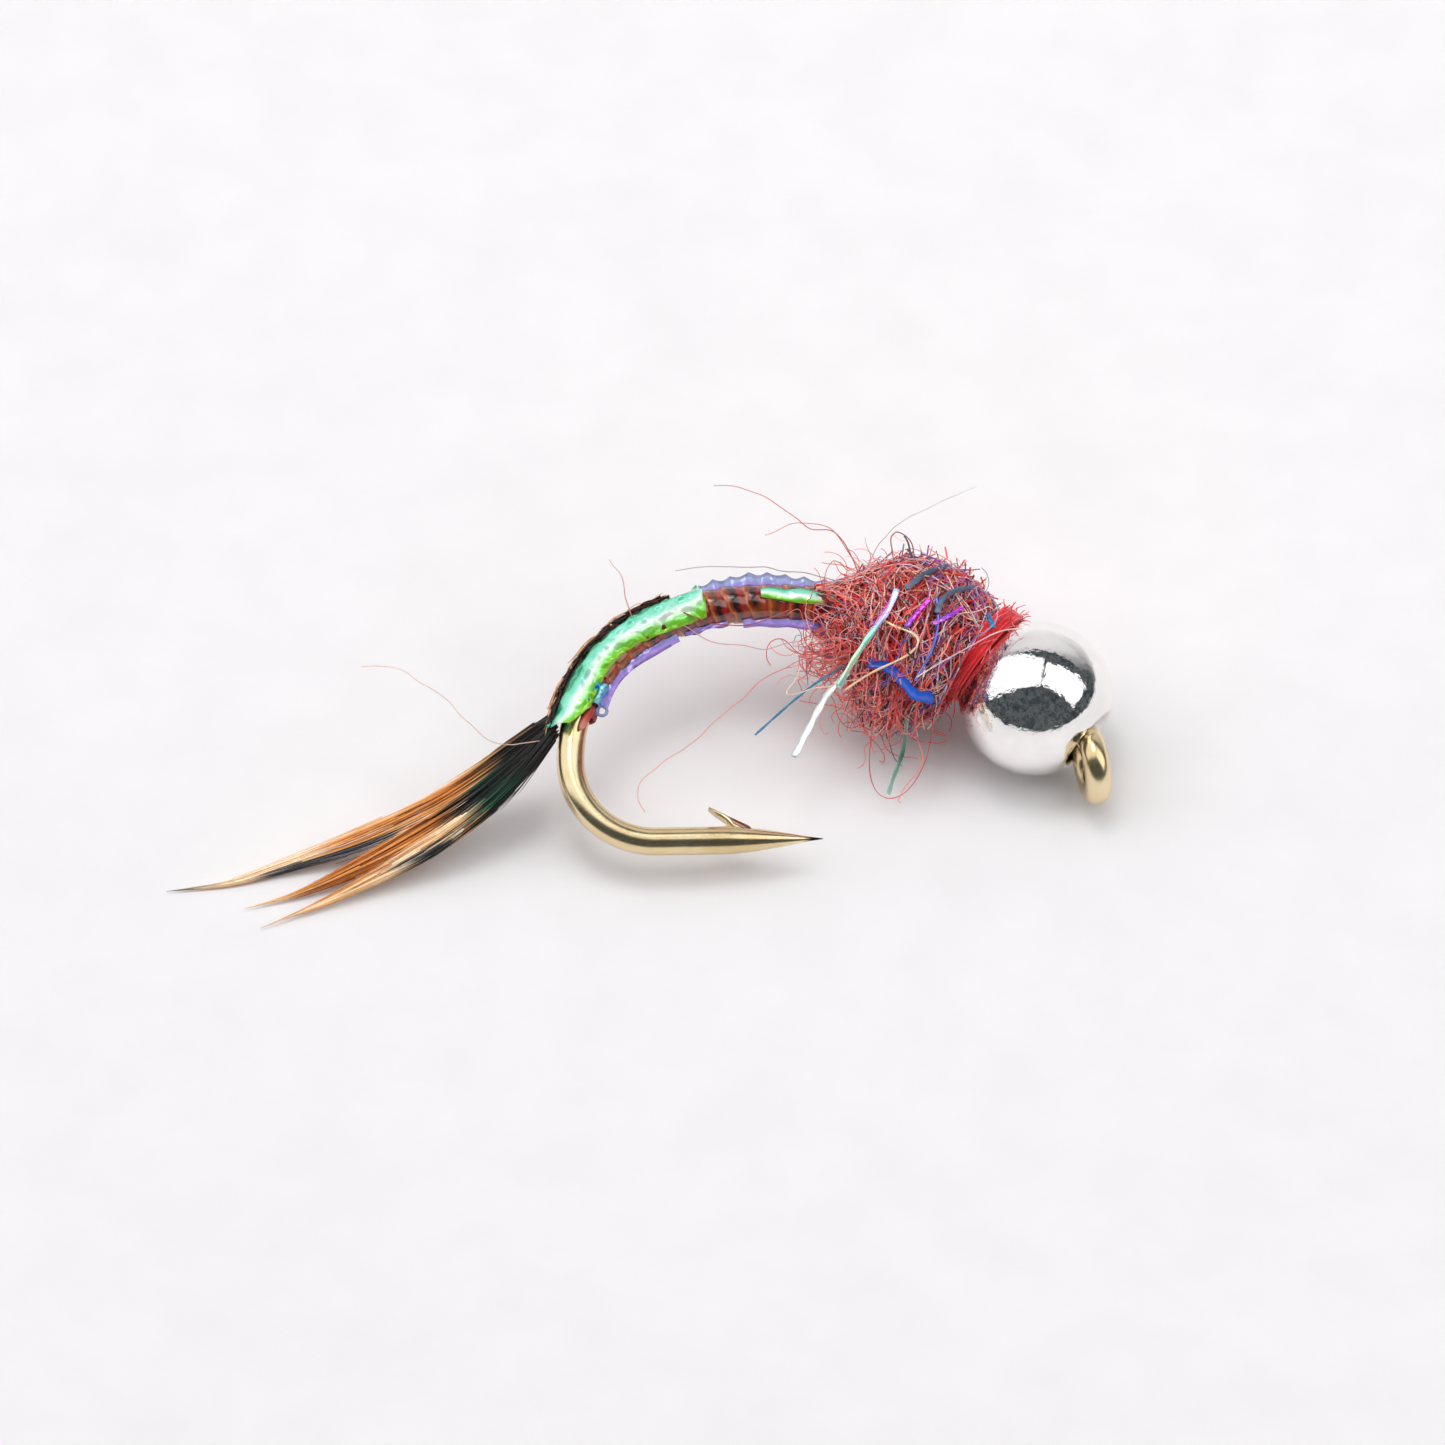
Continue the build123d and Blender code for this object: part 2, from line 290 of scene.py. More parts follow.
def turned(profile, axis, steps):
    """A shape turned about an axis through the bead's centre. A profile place is (out from it, along it)."""
    shape = bmesh.new()
    outline = [shape.verts.new(axis * along + heading(SHANK_HEADING + 90) * out) for out, along in profile]
    edges = [shape.edges.new(pair) for pair in zip(outline, outline[1:] + outline[:1])]
    bmesh.ops.spin(shape, geom=outline + edges, cent=(0, 0, 0), axis=axis, angle=math.tau, steps=steps,
                   use_merge=True)
    bmesh.ops.recalc_face_normals(shape, faces=shape.faces)
    return shape


bead = turned(bead_profile, down_the_neck, 128)

# Plated, barrel-polished brass: a true mirror, with tumbling ripples that show only as broken glints.
silver_plate, tree, shader = new_finish("silver plated tumbled brass", Metallic=1.0, Roughness=0.03)
ripples, pits = mottling(tree, 1400.0, 2.0), mottling(tree, 9000.0, 3.0)
tone = add(tree, "ShaderNodeValToRGB", {"Fac": ripples}, stops=((0.3, "#f0eeec"), (0.7, "#fdfbf9")))
tree.links.new(tone.outputs["Color"], shader.inputs["Base Color"])
soft = add(tree, "ShaderNodeMapRange", {"Value": pits, "From Min": 0.45, "From Max": 0.75, "To Min": 0.02,
                                        "To Max": 0.10})
tree.links.new(soft.outputs["Result"], shader.inputs["Roughness"])
dents = add(tree, "ShaderNodeMath", {0: ripples, 1: pits, 2: 0.0}, operation="MULTIPLY_ADD")
relief(tree, shader, dents.outputs["Value"], 0.35, 0.00003)
place("bead_ball", bead, silver_plate, "bead", slot="bead")


# --- body -----------------------------------------------------------------------
# Tying thread is laid down the shank, and pearl film is wound over it in overlapping turns that step like
# shingles. Varnish-clear gloss lets the red-brown thread show, with painted shade along each turn's lap.
BODY = (3.75, 9.54)
body_turn = 0.36
body_r = 0.315


def on_wire(at, inside_offset, side_offset):
    """A place by the wire: how far along it, how far to the inside of its curve, how far out of the plane."""
    centre, inside, _ = station(at)
    return centre + inside * inside_offset + OUT_OF_PLANE * side_offset


def bend_along_wire(shape):
    """Bends a shape made straight, with Z as the distance along the wire, onto the wire's curve."""
    for v in shape.verts:
        v.co = on_wire(v.co.z, v.co.x, v.co.y)


body = bmesh.new()
bmesh.ops.create_circle(body, segments=36, radius=body_r, matrix=Matrix.Translation((0, 0, BODY[0])))
steps = int((BODY[1] - BODY[0]) / body_turn * 12)
pace = (BODY[1] - BODY[0]) / steps
moves, size = [], 1.0
for step in range(1, steps + 1):
    lap = (step * pace / body_turn) % 1.0
    grown = 1.0 + 0.10 * lap + (0.05 * math.sin(math.pi * lap))
    moves.append((Vector((0, 0, pace)), grown / size))
    size = grown
drawn_wire(body, list(body.edges), moves)
turn_of = body.verts.layers.float.new("turn")
for v in body.verts:
    angle = math.atan2(v.co.y, v.co.x)
    v[turn_of] = (v.co.z - BODY[0]) / body_turn
    v.co.z += body_turn * angle / math.tau
bmesh.ops.holes_fill(body, edges=[e for e in body.edges if e.is_boundary])
bend_along_wire(body)
bmesh.ops.recalc_face_normals(body, faces=body.faces)

# Waxed rayon thread under clear film, wet gloss: dark red, with a painted amber highlight across each turn,
# painted shade near black in the laps and painted orange glints in patches.
wrapped_body, tree, shader = new_finish("red thread under clear pearl film", Roughness=0.22, IOR=1.5,
                                        Coat_Weight=1.0, Coat_Roughness=0.05, Coat_IOR=1.6)
turn = add(tree, "ShaderNodeAttribute", attribute_name="turn").outputs["Fac"]
blotch = mottling(tree, 2600.0, 3.0, Roughness=0.65)
shifted = add(tree, "ShaderNodeMath", {0: blotch, 1: 0.9, 2: turn}, operation="MULTIPLY_ADD")
lap = add(tree, "ShaderNodeMath", {0: shifted.outputs["Value"]}, operation="FRACT")
# colour across each turn: painted shade in the laps, a painted amber highlight on the turn's crown
turn_tone_and_shading = add(tree, "ShaderNodeValToRGB", {"Fac": lap.outputs["Value"]}, stops=(
    (0.0, "#1a0806"), (1.0, "#1a0806"), (0.12, "#4a120c"), (0.30, "#8a2c14"), (0.42, "#c46a28"),
    (0.54, "#7a1c10"), (0.76, "#a01410"), (0.92, "#3c0c08")))
# painted glints: orange patches laid into the thread's colour where the film throws light
painted_glints = add(tree, "ShaderNodeMapRange",
             {"Value": mottling(tree, 1100.0, 2.0), "From Min": 0.56, "From Max": 0.74})
mixed = add(tree, "ShaderNodeMix", {"Factor": painted_glints.outputs["Result"], 6: turn_tone_and_shading.outputs["Color"],
                                   7: colour("#b4601f")}, data_type="RGBA")
tree.links.new(mixed.outputs[2], shader.inputs["Base Color"])
relief(tree, shader, blotch, 0.5, 0.00004)
place("wound_body", body, wrapped_body, "pearl_body_wrap", slot="pearl_film")


# --- pearl film -----------------------------------------------------------------
# Thin iridescent plastic film. One strip lies folded over the body's upper face from the tail, and narrower
# edges of the wound film stand out past the body above and below it.
def film_strip(shape, along, across, height, rows=48, columns=8, crumple=0.0, seed=0):
    """A strip of film: across(t) gives its edges beside the wire, height(x, t) how far out of the plane."""
    shape.loops.layers.uv.verify()
    grid = bmesh.ops.create_grid(shape, x_segments=columns, y_segments=rows, size=0.5, calc_uvs=True)["verts"]
    for v in grid:
        u, t = v.co.x + 0.5, v.co.y + 0.5
        low_edge, high_edge = across(t)
        x = low_edge + (high_edge - low_edge) * u
        z = along[0] + (along[1] - along[0]) * t
        broad, fine = noise.noise(Vector((x * 9, z * 5, seed))), noise.noise(Vector((x * 16, z * 12, seed)))
        fold = crumple * (broad + 0.2 * fine)
        v.co = Vector((x, height(x, t) + fold, z))


def film_finish(name, stops, scale, alpha, roughness, metallic):
    """Pearl film: its layers are a few hundred nanometres thick, so its colour drifts as the sheet bends."""
    made, tree, shader = new_finish(name, Metallic=metallic, Roughness=roughness, IOR=1.55, Alpha=alpha,
                                    Coat_Weight=0.6, Coat_Roughness=0.04)
    drift = mottling(tree, scale, 2.5, Distortion=0.8)
    across = add(tree, "ShaderNodeSeparateXYZ", {0: add(tree, "ShaderNodeUVMap").outputs["UV"]}).outputs["X"]
    shift = add(tree, "ShaderNodeMath", {0: drift, 1: 0.5, 2: across}, operation="MULTIPLY_ADD")
    place_in_ramp = add(tree, "ShaderNodeMapRange",
                        {"Value": shift.outputs["Value"], "From Min": 0.2, "From Max": 1.3})
    sheen = add(tree, "ShaderNodeValToRGB", {"Fac": place_in_ramp.outputs["Result"]}, stops=stops)
    tree.links.new(sheen.outputs["Color"], shader.inputs["Base Color"])
    relief(tree, shader, drift, 0.45, 0.00006)
    return made


def over_body(x, lift=0.04):
    return math.sqrt(max((body_r * 1.12 + lift) ** 2 - x * x, 0.0004))


def end_flare(t, begin=0.05, end=0.07):
    """1 at the cut ends of a strip and 0 along the rest of it."""
    return max(1 - t / begin, 0.0) + max(1 - (1 - t) / end, 0.0)


strip = bmesh.new()
film_strip(
    strip, (6.42, 10.02),
    lambda t: (-0.36 - 0.14 * end_flare(t),
               0.25 - 0.11 * t + 0.04 * math.sin(t * 9.0) - 0.26 * end_flare(t, 0.01, 0.13)),
    lambda x, t: over_body(x, 0.05) + (0.16 if t > 0.5 else 0.05) * end_flare(t), rows=90, columns=14,
    crumple=0.11, seed=3)
bend_along_wire(strip)
bmesh.ops.solidify(strip, geom=strip.faces[:], thickness=0.012)
# Pearl film against the thread: mint at its outer edge, a painted highlight in white along its middle where
# it faces the light, lime at its fold.
pearl_green = film_finish("pearl film folded flat", (
    (0.0, "#22a878"), (1.0, "#3c6a10"), (0.14, "#5cd8b0"), (0.34, "#9af0d4"), (0.48, "#f4fffa"),
    (0.60, "#d8ffd0"), (0.74, "#7ce84a"), (0.88, "#8cc81c")),
    scale=1700.0, alpha=1.0, roughness=0.20, metallic=0.18)
place("pearl_strip_folded", strip, pearl_green, "pearl_back_strip", slot="pearl_film")

# a narrow patch of the same pearl film along the body's front, laid as a painted lime and white highlight
highlight_patch = bmesh.new()
film_strip(highlight_patch, (3.62, 5.40),
           lambda t: (-0.16 + 0.02 * math.sin(t * 19), 0.02 + 0.10 * math.sin(math.pi * t)),
           lambda x, t: over_body(x, 0.035), rows=50, columns=6, crumple=0.04, seed=8)
bend_along_wire(highlight_patch)
bmesh.ops.solidify(highlight_patch, geom=highlight_patch.faces[:], thickness=0.012)
place("pearl_highlight_strip", highlight_patch, pearl_green, slot="pearl_film")


def scalloped(t):
    """The free edge of the wound film: one scallop for each turn, uneven along the body."""
    return -0.52 + 0.06 * abs(math.sin(t * 2.45 / 0.34 * math.pi + 2 * t * t)) + 0.04 * math.sin(t * 8)


edges_of_film = bmesh.new()
film_strip(edges_of_film, (3.95, 6.40), lambda t: (scalloped(t), -0.22),
           lambda x, t: 0.10 + 0.03 * math.sin(t * 30), rows=110, columns=4, crumple=0.02, seed=1)
film_strip(edges_of_film, (7.10, 9.35), lambda t: (0.20, 0.46 + 0.03 * math.sin(t * 7)),
           lambda x, t: 0.14, rows=60, columns=4, crumple=0.03, seed=5)
film_strip(edges_of_film, (6.05, 6.95), lambda t: (0.20, 0.42 + 0.02 * math.sin(t * 11)),
           lambda x, t: 0.10, rows=24, columns=4, crumple=0.03, seed=6)
film_strip(edges_of_film, (3.90, 5.75), lambda t: (0.20, 0.52 - 0.05 * t + 0.01 * math.sin(t * 21)),
           lambda x, t: 0.08, rows=50, columns=4, crumple=0.02, seed=7)
bend_along_wire(edges_of_film)
bmesh.ops.solidify(edges_of_film, geom=edges_of_film.faces[:], thickness=0.010)
# The same film edge-on with nothing behind it: clear, with violet and blue reflections and a trace of green.
pearl_violet = film_finish("pearl film standing clear", (
    (0.0, "#8a9ac8"), (1.0, "#9a60d8"), (0.22, "#9ab4d0"), (0.42, "#a0a4ec"), (0.60, "#9a88e4"),
    (0.82, "#b088e8")),
    scale=1500.0, alpha=0.78, roughness=0.12, metallic=0.1)
place("pearl_film_edges", edges_of_film, pearl_violet, slot="pearl_film")

glint = bmesh.new()
film_strip(glint, (8.95, 9.42), lambda t: (0.14 - 0.05 * t, 0.34), lambda x, t: over_body(x, 0.06),
           rows=16, columns=6, crumple=0.16, seed=9)
bend_along_wire(glint)
bmesh.ops.solidify(glint, geom=glint.faces[:], thickness=0.012)
# A crumple of the same film that catches the light at another angle: blue, with painted cyan and white
# glints.
pearl_blue = film_finish("pearl film crumpled", (
    (0.0, "#1490e0"), (1.0, "#2a58d0"), (0.35, "#28d8e8"), (0.6, "#bff6f0"), (0.8, "#1aa0e0")),
    scale=3000.0, alpha=1.0, roughness=0.15, metallic=0.4)
place("pearl_crumple", glint, pearl_blue, slot="pearl_film")


# --- thread: base, thorax core, collar, whip finish, tail tie and tag -----------------
# Fine waxed red thread. It covers the shank, builds the lump behind the bead, and ends in a band of turns
# drawn tight by the finishing knot against the bead. Its cut end and a few broken filaments stand off it.
def lay_fibres(name, routes, finish, *nodes, slot=None, ribbon=None, resolution=2, sides=0):
    """Fibres as one mesh. A route is its points in the hook's millimetres, a radius at each, and its dyes.

    Each dye list runs from root to tip. A ribbon has a half width and a half thickness, and its routes give
    a share of them at each point instead of a radius.
    """
    curve = bpy.data.curves.new(name + "_route", "CURVE")
    curve.dimensions = "3D"
    curve.resolution_u = resolution
    for points, radii, _ in routes:
        spline = curve.splines.new("NURBS")
        spline.points.add(len(points) - 1)
        for knot, at, radius in zip(spline.points, points, radii):
            knot.co = (*(LIE @ at), 1)
            knot.co.z = max(knot.co.z, TABLE + 0.00003)
            knot.radius = radius
            knot.tilt = math.radians(90 if ribbon else 0)
        spline.order_u = 3
        spline.use_endpoint_u = True
    holder = bpy.data.objects.new(name + "_route", curve)
    half_width, half_thickness = ribbon or (0.0, 1.0)
    curve.bevel_depth = half_thickness * 0.001
    curve.bevel_resolution = sides
    curve.use_fill_caps = True
    curve.extrude = half_width * 0.001
    mesh = bpy.data.meshes.new_from_object(holder)
    mesh.name = name
    bpy.data.objects.remove(holder)
    fibres = bmesh.new()
    fibres.from_mesh(mesh)
    bmesh.ops.remove_doubles(fibres, verts=fibres.verts, dist=5e-8)
    dye = fibres.verts.layers.float_color.new("dye")
    ends = KDTree(2 * len(routes))
    for i, (points, _, _) in enumerate(routes):
        ends.insert(LIE @ points[0], 2 * i)
        ends.insert(LIE @ points[-1], 2 * i + 1)
    ends.balance()
    for first in fibres.verts:
        if first.tag:
            continue
        first.tag, along, nearest = True, [first], ends.find(first.co)[1]
        dyes = routes[nearest // 2][2][::-1 if nearest % 2 else 1]
        tones = [colour(code) for code in (*dyes, dyes[-1])]
        for v in along:
            beside = [e.other_vert(v) for e in v.link_edges if not e.other_vert(v).tag]
            for w in beside:
                w.tag = True
            along += beside
        for i, v in enumerate(along):
            t = i / len(along) * (len(tones) - 2)
            v[dye] = [a + (b - a) * (t % 1) for a, b in zip(tones[int(t)], tones[int(t) + 1])]
    fibres.to_mesh(mesh)
    fibres.free()
    join_fly(smooth_object(name, mesh, finish), nodes)


def fibre_finish(name, roughness, metallic=0.0, sheen=0.0, coat=0.0, speckle=9000.0):
    """A fibre coloured by its own dye, a little uneven along its length."""
    made, tree, shader = new_finish(name, Roughness=roughness, Metallic=metallic, Sheen_Weight=sheen,
                                    Coat_Weight=coat, Coat_Roughness=0.1)
    dye = add(tree, "ShaderNodeAttribute", attribute_name="dye").outputs["Color"]
    value = add(tree, "ShaderNodeMapRange",
                {"Value": mottling(tree, speckle, 2.0), "To Min": 0.90, "To Max": 1.50})
    toned = add(tree, "ShaderNodeHueSaturation", {"Color": dye, "Value": value.outputs["Result"]})
    tree.links.new(toned.outputs["Color"], shader.inputs["Base Color"])
    return made


def taper_radii(count, root, tip):
    return [root + (tip - root) * (i / (count - 1)) ** 1.5 for i in range(count)]


# Waxed multifilament: saturated red, matt, with a fine ridge for every turn.
red_thread, tree, shader = new_finish("waxed red tying thread", Roughness=0.62, Sheen_Weight=0.4)
ply = mottling(tree, 16000.0, 3.0)
tone = add(tree, "ShaderNodeValToRGB", {"Fac": ply}, stops=((0.25, "#c00814"), (0.75, "#f02430")))
tree.links.new(tone.outputs["Color"], shader.inputs["Base Color"])
relief(tree, shader, ply, 0.5, 0.00002)
for material_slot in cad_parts["thorax_core"].material_slots:
    material_slot.material = red_thread
under_thread = bmesh.new()
under_thread_r, under_thread_from = 0.285, 0.90
bmesh.ops.create_circle(under_thread, segments=28, radius=under_thread_r,
                        matrix=Matrix.Translation((0, 0, under_thread_from)))
drawn_wire(under_thread, list(under_thread.edges),
           [(Vector((0, 0, 0.10)), 1 + 0.02 * (-1) ** k) for k in range(86)])
bend_along_wire(under_thread)
bmesh.ops.recalc_face_normals(under_thread, faces=under_thread.faces)
place("thread_underlayer", under_thread, red_thread, "thread_base", slot="thread_base")

collar_span = (1.10, 1.44)
collar_axis, collar_up = heading(SHANK_HEADING), heading(SHANK_HEADING + 90)
rim = [(0.45, 1.10), (0.80, 1.09), (0.90, 1.14), (0.93, 1.25), (0.91, 1.37), (0.84, 1.43), (0.45, 1.44)]
collar = turned(rim, collar_axis, 72)
place("collar_packing", collar, red_thread, "thread_collar", slot="thread_collar")

rng = random.Random(11)
fibre_red = fibre_finish("dyed red thread filament", 0.6, sheen=0.3)
turns = []
for k in range(26):
    along = collar_span[0] + 0.02 + (collar_span[1] - collar_span[0] - 0.02) * (k % 13) / 12.5
    bulge = 0.035 * math.sin(math.pi * (along - collar_span[0]) / (collar_span[1] - collar_span[0]))
    lean, phase = rng.uniform(-0.035, 0.035), rng.uniform(0, math.tau)
    points = []
    for i in range(30):
        angle = math.tau * i / 29 * 1.02 + phase
        wobble = rng.uniform(-0.006, 0.006)
        spoke = collar_up * math.cos(angle) + OUT_OF_PLANE * math.sin(angle)
        reach = 0.915 + bulge + wobble + 0.012 * (k // 13)
        points.append(collar_axis * (along + lean * math.cos(angle) + wobble) + spoke * reach)
    shade = rng.choice(("#e81c26", "#d81420", "#f4343a", "#c00c1a"))
    turns.append((points, [0.024] * 30, (shade, shade)))
lay_fibres("collar_turns", turns, fibre_red, "whip_finish", slot="thread_collar", sides=1)


def curl(rng, start, direction, length, coil, points=12, droop=Vector((0, 0, 0))):
    """A springy fibre: it starts out one way and keeps turning, by coil radians for each millimetre."""
    at, way, path = Vector(start), Vector(direction).normalized(), [Vector(start)]
    axis = Vector((rng.gauss(0, 1), rng.gauss(0, 1), rng.gauss(0, 1))).normalized()
    step = length / (points - 1)
    for _ in range(points - 1):
        axis = (axis + Vector((rng.gauss(0, 0.45), rng.gauss(0, 0.45), rng.gauss(0, 0.45)))).normalized()
        way = (Matrix.Rotation(coil * step, 3, axis) @ way + droop * step).normalized()
        at = at + way * step
        path.append(at.copy())
    return path


fuzz = []
for _ in range(170):
    angle, along = rng.uniform(0, math.tau), rng.uniform(*collar_span)
    spoke = collar_up * math.cos(angle) + OUT_OF_PLANE * math.sin(angle)
    start = collar_axis * along + spoke * 0.92
    around = collar_axis.cross(spoke)
    way = around * rng.choice((-1, 1)) + spoke * rng.uniform(0.1, 0.6) + collar_axis * rng.uniform(-0.5, 0.5)
    shade = rng.choice(("#e02830", "#f04048", "#c41420", "#f07880"))
    fuzz.append((curl(rng, start, way, rng.uniform(0.2, 0.55), rng.uniform(1, 5), 6), [0.009] * 6,
                 (shade, shade)))
lay_fibres("collar_fuzz", fuzz, fibre_red, slot="thread_collar")

wraps = []
for k in range(12):
    along, phase = 9.42 + 0.022 * k, rng.uniform(0, math.tau)
    points = [on_wire(along + 0.02 * math.sin(a + phase), 0.335 * math.cos(a), 0.335 * math.sin(a))
              for a in (math.tau * i / 19 * 1.02 for i in range(20))]
    shade = rng.choice(("#8c1018", "#a01420", "#6a0c10"))
    wraps.append((points, [0.022] * 20, (shade, shade)))
lay_fibres("tail_tie_turns", wraps, fibre_red, "tail_tie", slot="thread_base")
tag_points = [on_wire(9.55 + 0.09 * i, 0.22 - 0.02 * i, 0.27 + 0.01 * math.sin(i * 1.7)) for i in range(6)]
lay_fibres("thread_tag_end",
           [(tag_points, [0.07, 0.08, 0.08, 0.075, 0.07, 0.03], ("#8c1c18", "#b03c34", "#d08478"))],
           fibre_red, "thread_tag", slot="thread_collar", sides=2, resolution=4)


# --- thorax dubbing -------------------------------------------------------------
# A pinch of mixed synthetic and fur fibre twisted on the thread and wound round the shank, then picked out
# on the belly side so that it hangs in curls to the table.
TUFT_AT = ((1.40, 0.90), (1.65, 1.08), (2.05, 1.20), (2.55, 1.25), (3.05, 1.14), (3.50, 0.84), (3.90, 0.54),
           (4.30, 0.36))


def tuft_r(at):
    """Radius of the wound dubbing at a distance along the wire."""
    if at <= TUFT_AT[0][0]:
        return TUFT_AT[0][1]
    for (a, ra), (b, rb) in zip(TUFT_AT, TUFT_AT[1:]):
        if at <= b:
            return ra + (rb - ra) * (at - a) / (b - a)
    return TUFT_AT[-1][1]


def on_tuft(at, angle, share=1.0):
    """A place on the dubbing: angle 0 is the belly and a quarter turn is the side away from the table."""
    belly = 1.0 + 0.38 * max(math.cos(angle), 0.0) ** 1.5
    r = tuft_r(at) * share * belly
    return on_wire(at, r * math.cos(angle), r * math.sin(angle))


tuft = bmesh.new()
bmesh.ops.create_icosphere(tuft, subdivisions=5, radius=1.0)
for v in tuft.verts:
    at = 2.80 - 1.40 * v.co.z
    ring_size = math.hypot(v.co.x, v.co.y)
    angle = math.atan2(v.co.y, v.co.x)
    lumps = 0.86 - 0.14 * max(math.cos(angle), 0)
    lumps += 0.10 * noise.noise(v.co * 4.0) + 0.05 * noise.noise(v.co * 11.0)
    v.co = on_tuft(at, angle, lumps * min(ring_size * 2.2, 1.0))
bmesh.ops.recalc_face_normals(tuft, faces=tuft.faces)
# Packed fibre seen between the loose ones: deep red, with painted shade in its dark depths and painted
# highlights streaked wherever fibres catch the light.
packed, tree, shader = new_finish("packed dyed dubbing in painted shade", Roughness=0.8, Sheen_Weight=0.3)
where = add(tree, "ShaderNodeTexCoord").outputs["Object"]
stretched = add(tree, "ShaderNodeMapping",
                {"Vector": where, "Scale": (1.0, 0.35, 0.5), "Rotation": (0.3, 0.5, 0.9)})
shade_and_glint_streaks = add(tree, "ShaderNodeTexNoise",
              {"Vector": stretched.outputs["Vector"], "Scale": 16000.0, "Detail": 3.0})
tone = add(tree, "ShaderNodeValToRGB", {"Fac": shade_and_glint_streaks.outputs["Fac"]}, stops=(
    (0.25, "#240406"), (0.80, "#d8403a"), (0.42, "#6a0a0c"), (0.52, "#b0161a"), (0.60, "#44102a"),
    (0.68, "#c02024")))
tree.links.new(tone.outputs["Color"], shader.inputs["Base Color"])
relief(tree, shader, shade_and_glint_streaks.outputs["Fac"], 0.9, 0.00005)
place("dubbing_packed", tuft, packed, "thorax_dubbing", slot="dubbing")

dubbing_fibre = fibre_finish("dyed dubbing fibre", 0.5, sheen=0.3)
reds = ("#d41e20", "#ec342a", "#b4181a", "#f65242", "#8c1216", "#dc2824", "#600a10")
salmons = ("#f0a090", "#f8c0b0", "#e88070", "#fcd8c8", "#f4b088")
lilacs = ("#c8b4d0", "#a8b4cc", "#e4d0dc", "#b49cc4", "#e8c4bc")
darks = ("#3a2430", "#4a4a60", "#5d6a86", "#2e2a34", "#6a5a70")
violets = ("#6a3fa8", "#8a4cc0", "#4a4cb0", "#a050b8")
rng = random.Random(4)


def wound_fibres(count, palette, radius, rng, level=(0.86, 1.05), cross=0.8):
    """Fibres held by the winding. Each goes part of the way round, crosses others and lifts at its ends."""
    routes = []
    for _ in range(count):
        at, angle = rng.uniform(1.45, 4.1), rng.uniform(0, math.tau)
        sweep_by, slide = rng.uniform(0.5, 2.0) * rng.choice((-1, 1)), rng.gauss(0.25, cross)
        depth = rng.uniform(*level)
        wave, beat, start = rng.uniform(0.03, 0.11), rng.uniform(6, 20), rng.uniform(0, math.tau)
        kick = rng.random() ** 3 * 0.30
        points = []
        for i in range(14):
            t = i / 13
            here = min(max(at + slide * (t - 0.5) + wave * math.cos(beat * t + start), 1.40), 4.4) + 0.03 * t
            share = depth + 0.35 * wave * math.sin(beat * 1.3 * t + start) + kick * (abs(t - 0.5) * 2) ** 4
            turn = angle + sweep_by * (t - 0.5) + 1.5 * wave * math.sin(beat * t + start)
            points.append(on_tuft(here, turn, share))
        shade = rng.choice(palette)
        routes.append((points, [radius * rng.uniform(0.8, 1.25)] * 14, (shade, shade)))
    return routes


def picked_fibres(count, palette, radius, rng, angles, reach, coil, pull, span):
    """Fibres picked out of the winding, curling away from it and from the bead."""
    routes = []
    for _ in range(count):
        at, angle = rng.uniform(*span), rng.gauss(*angles)
        start = on_tuft(at, angle, 0.85)
        outward = (start - station(at)[0]).normalized()
        unruly = Vector((rng.gauss(0, 0.5), rng.gauss(0, 0.5), rng.gauss(0, 0.5)))
        way = outward + heading(180) * 0.40 + unruly
        shade = rng.choice(palette)
        routes.append((curl(rng, start, way, rng.uniform(*reach), rng.uniform(*coil), 22, pull),
                       taper_radii(22, radius, radius * 0.7), (shade, shade)))
    return routes


down = (LIE.to_3x3().inverted() @ Vector((0, 0, -1))).normalized()
pinks = ("#e4605a", "#f08078", "#d84a44", "#e8706a", "#f8a8a0", "#c43c3a")
for name, count, palette, radius, level, cross in (
        ("dubbing_red", 560, reds, 0.0150, (0.86, 1.05), 0.8),
        ("dubbing_salmon", 330, salmons, 0.0095, (0.94, 1.07), 1.1),
        ("dubbing_dark", 110, darks, 0.0120, (0.86, 1.04), 0.8),
        ("dubbing_violet", 80, violets, 0.0130, (0.92, 1.06), 1.0),
        ("dubbing_lilac", 70, lilacs, 0.0090, (1.00, 1.09), 1.7)):
    lay_fibres(name, wound_fibres(count, palette, radius, rng, level, cross), dubbing_fibre, slot="dubbing",
               resolution=1)
back = heading(180)
for name, count, palette, radius, angles, reach, coil, pull, span in (
        ("dubbing_belly", 150, pinks, 0.011, (0.0, 0.55), (1.1, 3.0), (4.0, 8.0),
         down * 0.6 - Vector((0, 0.7, 0)) + back * 0.35, (2.2, 4.1)),
        ("dubbing_belly_grey", 30, darks + lilacs, 0.010, (0.0, 0.7), (0.8, 2.0), (3.0, 6.0),
         down * 0.4 + back * 0.3, (2.2, 4.0)),
        ("dubbing_rear", 60, pinks, 0.010, (0.5, 0.9), (0.8, 1.8), (3.0, 7.0), back * 0.5, (3.2, 4.2)),
        ("dubbing_halo", 90, pinks, 0.009, (math.pi * 0.75, 1.2), (0.4, 1.1), (3.0, 8.0), back * 0.2,
         (1.7, 4.0))):
    lay_fibres(name, picked_fibres(count, palette, radius, rng, angles, reach, coil, pull, span),
               dubbing_fibre, slot="dubbing", resolution=2)


# --- stray hairs ----------------------------------------------------------------
# Single long hairs that slipped the thread: fine, springy and almost clear where they are pale.
def even_route(points, count, soften=0):
    """The same route with a set number of points, evenly spread, its corners rounded by so many passes."""
    lengths = [0.0]
    for a, b in zip(points, points[1:]):
        lengths.append(lengths[-1] + (Vector(b) - Vector(a)).length)
    route, k = [], 0
    for i in range(count):
        want = lengths[-1] * i / (count - 1)
        while k < len(points) - 2 and want > lengths[k + 1]:
            k += 1
        share = (want - lengths[k]) / max(lengths[k + 1] - lengths[k], 1e-9)
        route.append(Vector(points[k]).lerp(Vector(points[k + 1]), share))
    for _ in range(soften):
        route[1:-1] = [(a + b * 2 + c) / 4 for a, b, c in zip(route, route[1:], route[2:])]
    return route


